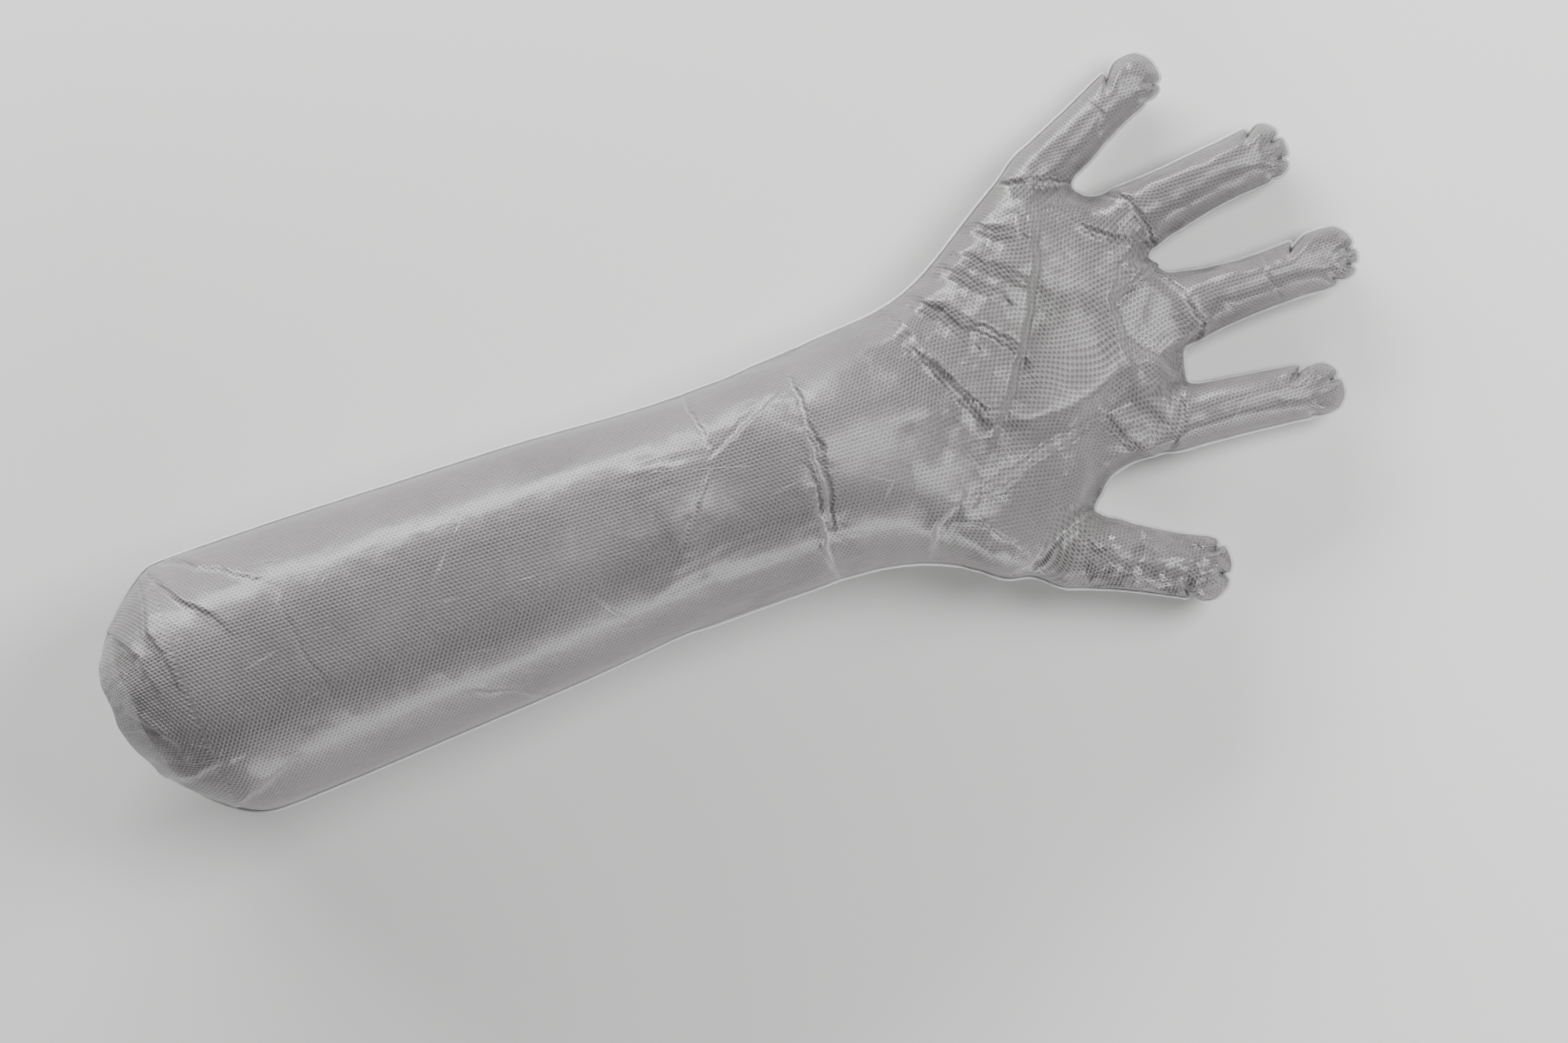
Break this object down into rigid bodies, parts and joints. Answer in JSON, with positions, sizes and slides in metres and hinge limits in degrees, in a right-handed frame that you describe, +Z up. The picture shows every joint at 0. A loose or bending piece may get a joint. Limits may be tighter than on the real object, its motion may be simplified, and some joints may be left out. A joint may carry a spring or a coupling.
{
  "type": "long disposable veterinary glove",
  "caption": "Long sleeve glove of thin embossed plastic film, two sheets welded round the outline, puffed up and lying palm up with its fingers spread",
  "frame": {"origin": "middle of the footprint, on the surface that the glove lies on", "axes": "+X from the open mouth to the fingertips, +Y to the little finger, +Z up, away from the surface; the palm is up"},
  "size_m": [0.5678, 0.2368, 0.118],
  "materials": {
    "film": "milky, see-through embossed film with a soft gloss"
  },
  "bodies": {
    "root": {"upper_sleeve": "film", "upper_wrist": "film", "upper_palm": "film", "upper_little": "film", "upper_ring": "film", "upper_middle": "film", "upper_index": "film", "upper_thumb": "film", "lower_sleeve": "film", "lower_wrist": "film", "lower_palm": "film", "lower_little": "film", "lower_ring": "film", "lower_middle": "film", "lower_index": "film", "lower_thumb": "film"}
  },
  "joints": []
}
